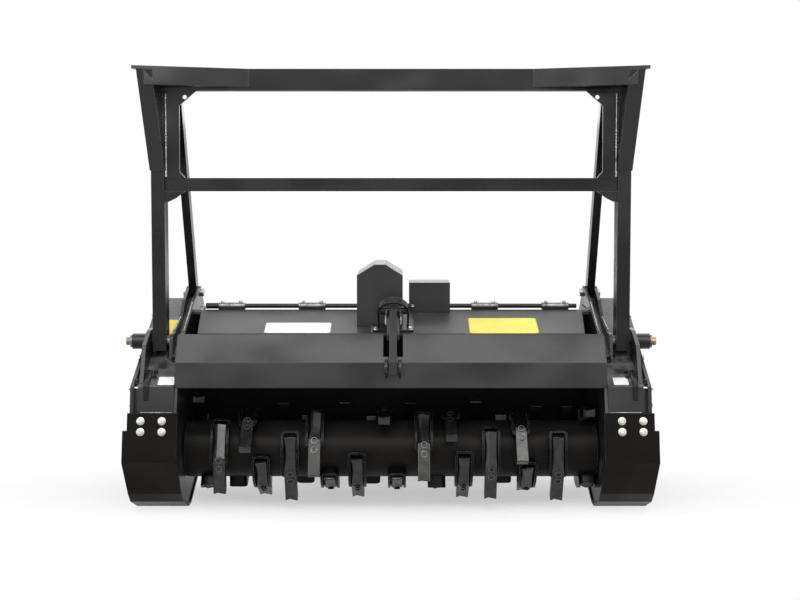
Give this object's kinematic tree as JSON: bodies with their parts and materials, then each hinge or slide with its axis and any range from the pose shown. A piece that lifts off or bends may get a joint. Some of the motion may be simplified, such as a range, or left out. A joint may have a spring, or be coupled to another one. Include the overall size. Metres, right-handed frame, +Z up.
{
  "type": "drum mulcher attachment",
  "caption": "Drum mulcher head for a compact loader, with spiral-set teeth, skid shoes, a hinged front gate moved by a cylinder, a tall push frame and a rear quick-attach plate.",
  "frame": {"origin": "on the floor, midway between the sides and midway between the machine's nose and the back of its coupler", "axes": "+X to the right seen from the front, -Y the front, +Z up"},
  "size_m": [2.016, 1.064, 1.665],
  "materials": {
    "black_paint": "gloss",
    "frame_paint": "satin",
    "shoe_paint": "satin",
    "rotor_paint": "gloss",
    "tooth_steel": "gloss",
    "cylinder_paint": "gloss",
    "zinc_steel": "satin",
    "cast_iron": "cast"
  },
  "bodies": {
    "frame": {"end_plate_left": "black_paint", "end_plate_right": "black_paint", "side_box_left": "black_paint", "side_box_right": "black_paint", "side_cover_left": "black_paint", "side_cover_right": "black_paint", "skid_shoe_left": "shoe_paint", "skid_shoe_right": "shoe_paint", "deck": "black_paint", "chamber_wall": "black_paint", "rear_cover": "black_paint", "rotor_bearings": "cast_iron", "gate_pins": "zinc_steel", "cylinder_guard": "black_paint", "push_post_left": "frame_paint", "push_post_right": "frame_paint", "push_top_bar": "frame_paint", "push_mid_bar": "frame_paint", "push_wing_left": "frame_paint", "push_wing_right": "frame_paint", "push_strut_left": "frame_paint", "push_strut_right": "frame_paint", "post_gusset_left": "frame_paint", "post_gusset_right": "frame_paint", "rear_brace_left": "frame_paint", "rear_brace_right": "frame_paint", "brace_bolts": "zinc_steel", "pivot_rib_left": "black_paint", "pivot_rib_right": "black_paint", "pivot_ear_left": "black_paint", "pivot_ear_right": "black_paint", "pivot_pins": "frame_paint", "hinge_line": "frame_paint", "hose_hood": "black_paint", "valve_cover": "black_paint", "coupler_webs": "black_paint", "coupler_plate": "black_paint"},
    "rotor": {"rotor_drum": "rotor_paint", "rotor_holders": "rotor_paint", "rotor_teeth": "tooth_steel"},
    "gate": {"gate_panel": "black_paint", "gate_arm_left": "black_paint", "gate_arm_right": "black_paint"},
    "barrel": {"gate_barrel": "cylinder_paint"},
    "rod": {"gate_rod": "cylinder_paint"}
  },
  "joints": [
    {"name": "rotor_spin", "type": "hinge", "parent": "frame", "child": "rotor", "pos_m": [0, -0.256, 0.224], "axis": [1, 0, 0], "continuous": true},
    {"name": "gate_hinge", "type": "hinge", "parent": "frame", "child": "gate", "pos_m": [0, -0.26, 0.6373], "axis": [-1, 0, 0], "range_deg": [0, 25]},
    {"name": "gate_cylinder_tilt", "type": "hinge", "parent": "frame", "child": "barrel", "pos_m": [0.008, -0.302, 0.759], "axis": [-1, 0, 0], "range_deg": [0, 23]},
    {"name": "gate_rod_slide", "type": "slide", "parent": "barrel", "child": "rod", "axis": [0, 0.7268, 0.6868], "range_m": [0, 0.056]}
  ],
  "couplings": [
    {"joint": "gate_cylinder_tilt", "follows": "gate_hinge", "ratio": 0.865},
    {"joint": "gate_rod_slide", "follows": "gate_hinge", "m_per_rad": 0.124}
  ]
}
